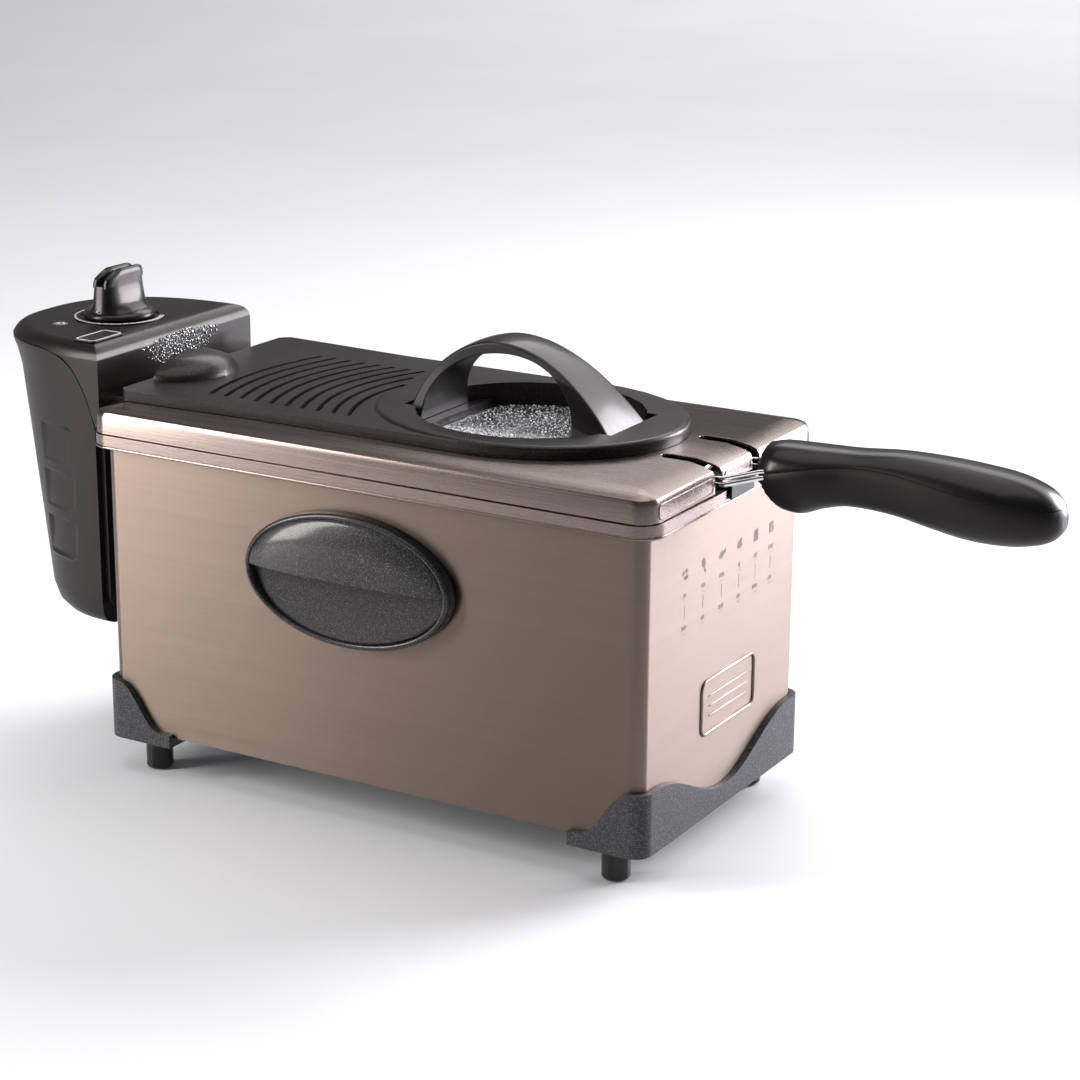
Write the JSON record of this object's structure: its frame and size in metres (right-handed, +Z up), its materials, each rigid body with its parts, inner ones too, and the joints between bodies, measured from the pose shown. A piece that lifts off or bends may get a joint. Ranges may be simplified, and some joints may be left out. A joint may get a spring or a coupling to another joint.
{
  "type": "deep fryer",
  "caption": "Deep fryer: steel housing on feet, lift-out oil pot, basket with a folding handle, lid with a viewing window, and a lift-off control head carrying the heating element.",
  "frame": {"origin": "middle of the footprint, at the bottom of the feet", "axes": "+X towards the basket handle, +Y towards the back, +Z up"},
  "size_m": [0.6256, 0.2026, 0.2632],
  "materials": {
    "housing_steel": "fine horizontal brushing with a warm bronze tint",
    "lid_steel": "fine brushing with a warm bronze tint",
    "inner_steel": "bright satin steel",
    "wire_chrome": "bright plated wire",
    "cover_plastic": "brown-black, lightly pearled",
    "handle_plastic": "semi-gloss black",
    "bracket_plastic": "speckled graphite grey",
    "side_grip_plastic": "anthracite with a fine sparkle",
    "foot_rubber": "glossy black",
    "head_plastic": "dark brown-black, satin",
    "knob_plastic": "satin black",
    "grip_plastic": "satin black",
    "inner_plastic": "heat-resistant cream moulding",
    "base_plastic": "plain black",
    "element_metal": "heat-darkened steel sheath",
    "window_glass": "clear, misted inside",
    "gasket_rubber": "matte",
    "screw_steel": "plain",
    "badge_metal": "satin, blank",
    "dial_print": "pale grey ring with tick marks",
    "reset_plastic": "red"
  },
  "bodies": {
    "housing": {"housing_shell": "housing_steel", "base_plate": "base_plastic", "end_bracket_right": "bracket_plastic", "end_bracket_left": "bracket_plastic", "foot_left_front": "foot_rubber", "foot_left_back": "foot_rubber", "foot_right_front": "foot_rubber", "foot_right_back": "foot_rubber", "side_handle_front": "side_grip_plastic", "side_handle_back": "side_grip_plastic", "head_rail": "inner_steel"},
    "pot": {"oil_pot": "lid_steel"},
    "control_head": {"head_cover": "head_plastic", "head_shell": "head_plastic", "head_plate": "inner_steel", "head_tongue": "inner_steel", "element_carrier": "inner_steel", "heating_element": "element_metal", "element_strap_left": "inner_steel", "element_strap_right": "inner_steel", "sensor_tube": "wire_chrome", "thermostat": "inner_plastic", "thermal_cutout": "inner_plastic", "terminal_block": "inner_plastic", "safety_switch": "inner_plastic", "cord_gland": "gasket_rubber", "top_screw_front": "screw_steel", "top_screw_back": "screw_steel", "badge_plate": "badge_metal", "dial_ring": "dial_print"},
    "knob": {"temperature_knob": "knob_plastic", "knob_shaft": "screw_steel"},
    "reset": {"reset_button": "reset_plastic"},
    "basket": {"basket_tray": "inner_steel", "basket_rim": "wire_chrome", "handle_bracket": "inner_steel", "rim_hook": "handle_plastic"},
    "basket_handle": {"pivot_wire": "wire_chrome", "upper_wire_front": "wire_chrome", "upper_wire_back": "wire_chrome", "grip_upper": "grip_plastic", "grip_lower": "grip_plastic", "grip_screw": "screw_steel"},
    "lid": {"lid_shell": "lid_steel", "lid_cover": "cover_plastic", "lid_handle": "handle_plastic", "window_gasket": "gasket_rubber", "window_glass": "window_glass", "steam_filter": "inner_steel", "cover_screw_1": "screw_steel", "cover_screw_2": "screw_steel", "cover_screw_3": "screw_steel", "cover_screw_4": "screw_steel", "handle_screw_1": "screw_steel", "handle_screw_2": "screw_steel"}
  },
  "joints": [
    {"name": "pot_lift", "type": "slide", "parent": "housing", "child": "pot", "axis": [0, 0, 1], "range_m": [0, 0.15]},
    {"name": "head_lift", "type": "slide", "parent": "pot", "child": "control_head", "axis": [0, 0, 1], "range_m": [0, 0.15]},
    {"name": "basket_lift", "type": "slide", "parent": "control_head", "child": "basket", "axis": [0, 0, 1], "range_m": [0, 0.15]},
    {"name": "lid_lift", "type": "slide", "parent": "basket", "child": "lid", "axis": [0, 0, 1], "range_m": [0, 0.21]},
    {"name": "handle_fold", "type": "hinge", "parent": "basket", "child": "basket_handle", "pos_m": [0.11975, 0, 0.1982], "axis": [0, -1, 0], "range_deg": [0, 88]},
    {"name": "knob_turn", "type": "hinge", "parent": "control_head", "child": "knob", "pos_m": [-0.25625, 0, 0.24], "axis": [0, 0, 1], "range_deg": [-135, 135]},
    {"name": "reset_press", "type": "slide", "parent": "control_head", "child": "reset", "axis": [0, 0, 1], "range_m": [0, 0.0025], "stiffness_N_per_m": 400}
  ]
}
